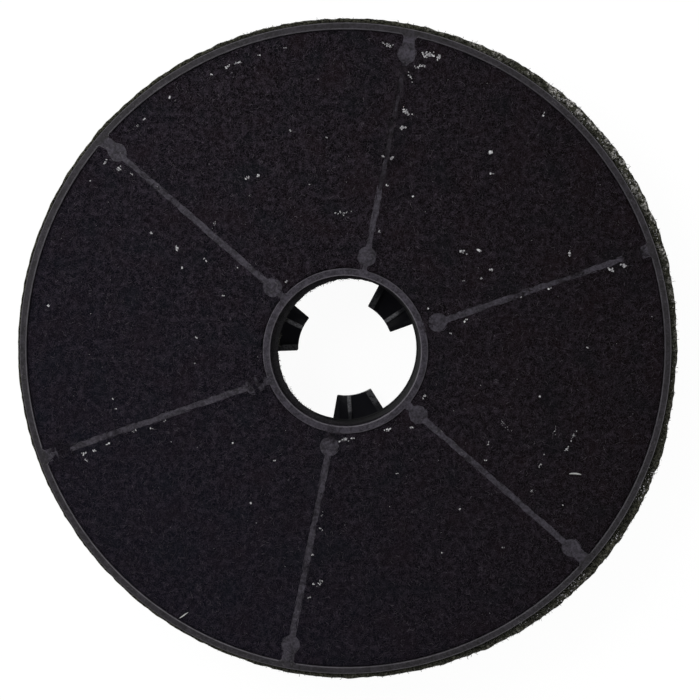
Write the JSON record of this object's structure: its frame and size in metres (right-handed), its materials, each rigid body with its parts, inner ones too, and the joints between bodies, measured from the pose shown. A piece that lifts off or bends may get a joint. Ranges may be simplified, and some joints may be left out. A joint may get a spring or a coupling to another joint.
{
  "type": "cooker hood carbon filter",
  "caption": "Round carbon filter cartridge for a cooker hood, with a fleece face behind a thin spoked grid and an open bayonet hub for the fan housing.",
  "frame": {"origin": "on the bore axis, in the plane of the flat rear face", "axes": "+Z along the bore axis from the rear face to the front face; +Y towards the top of the filter as pictured"},
  "size_m": [0.2361, 0.2358, 0.028],
  "materials": {
    "moulded_plastic": "semi-matt black moulded polypropylene",
    "fleece": "black needled polyester fleece",
    "carbon_granules": "loose black activated carbon granules"
  },
  "bodies": {
    "root": {"front_frame": "moulded_plastic", "front_fleece": "fleece", "carbon_bed": "carbon_granules", "rear_fleece": "fleece", "rear_frame": "moulded_plastic"}
  },
  "joints": []
}
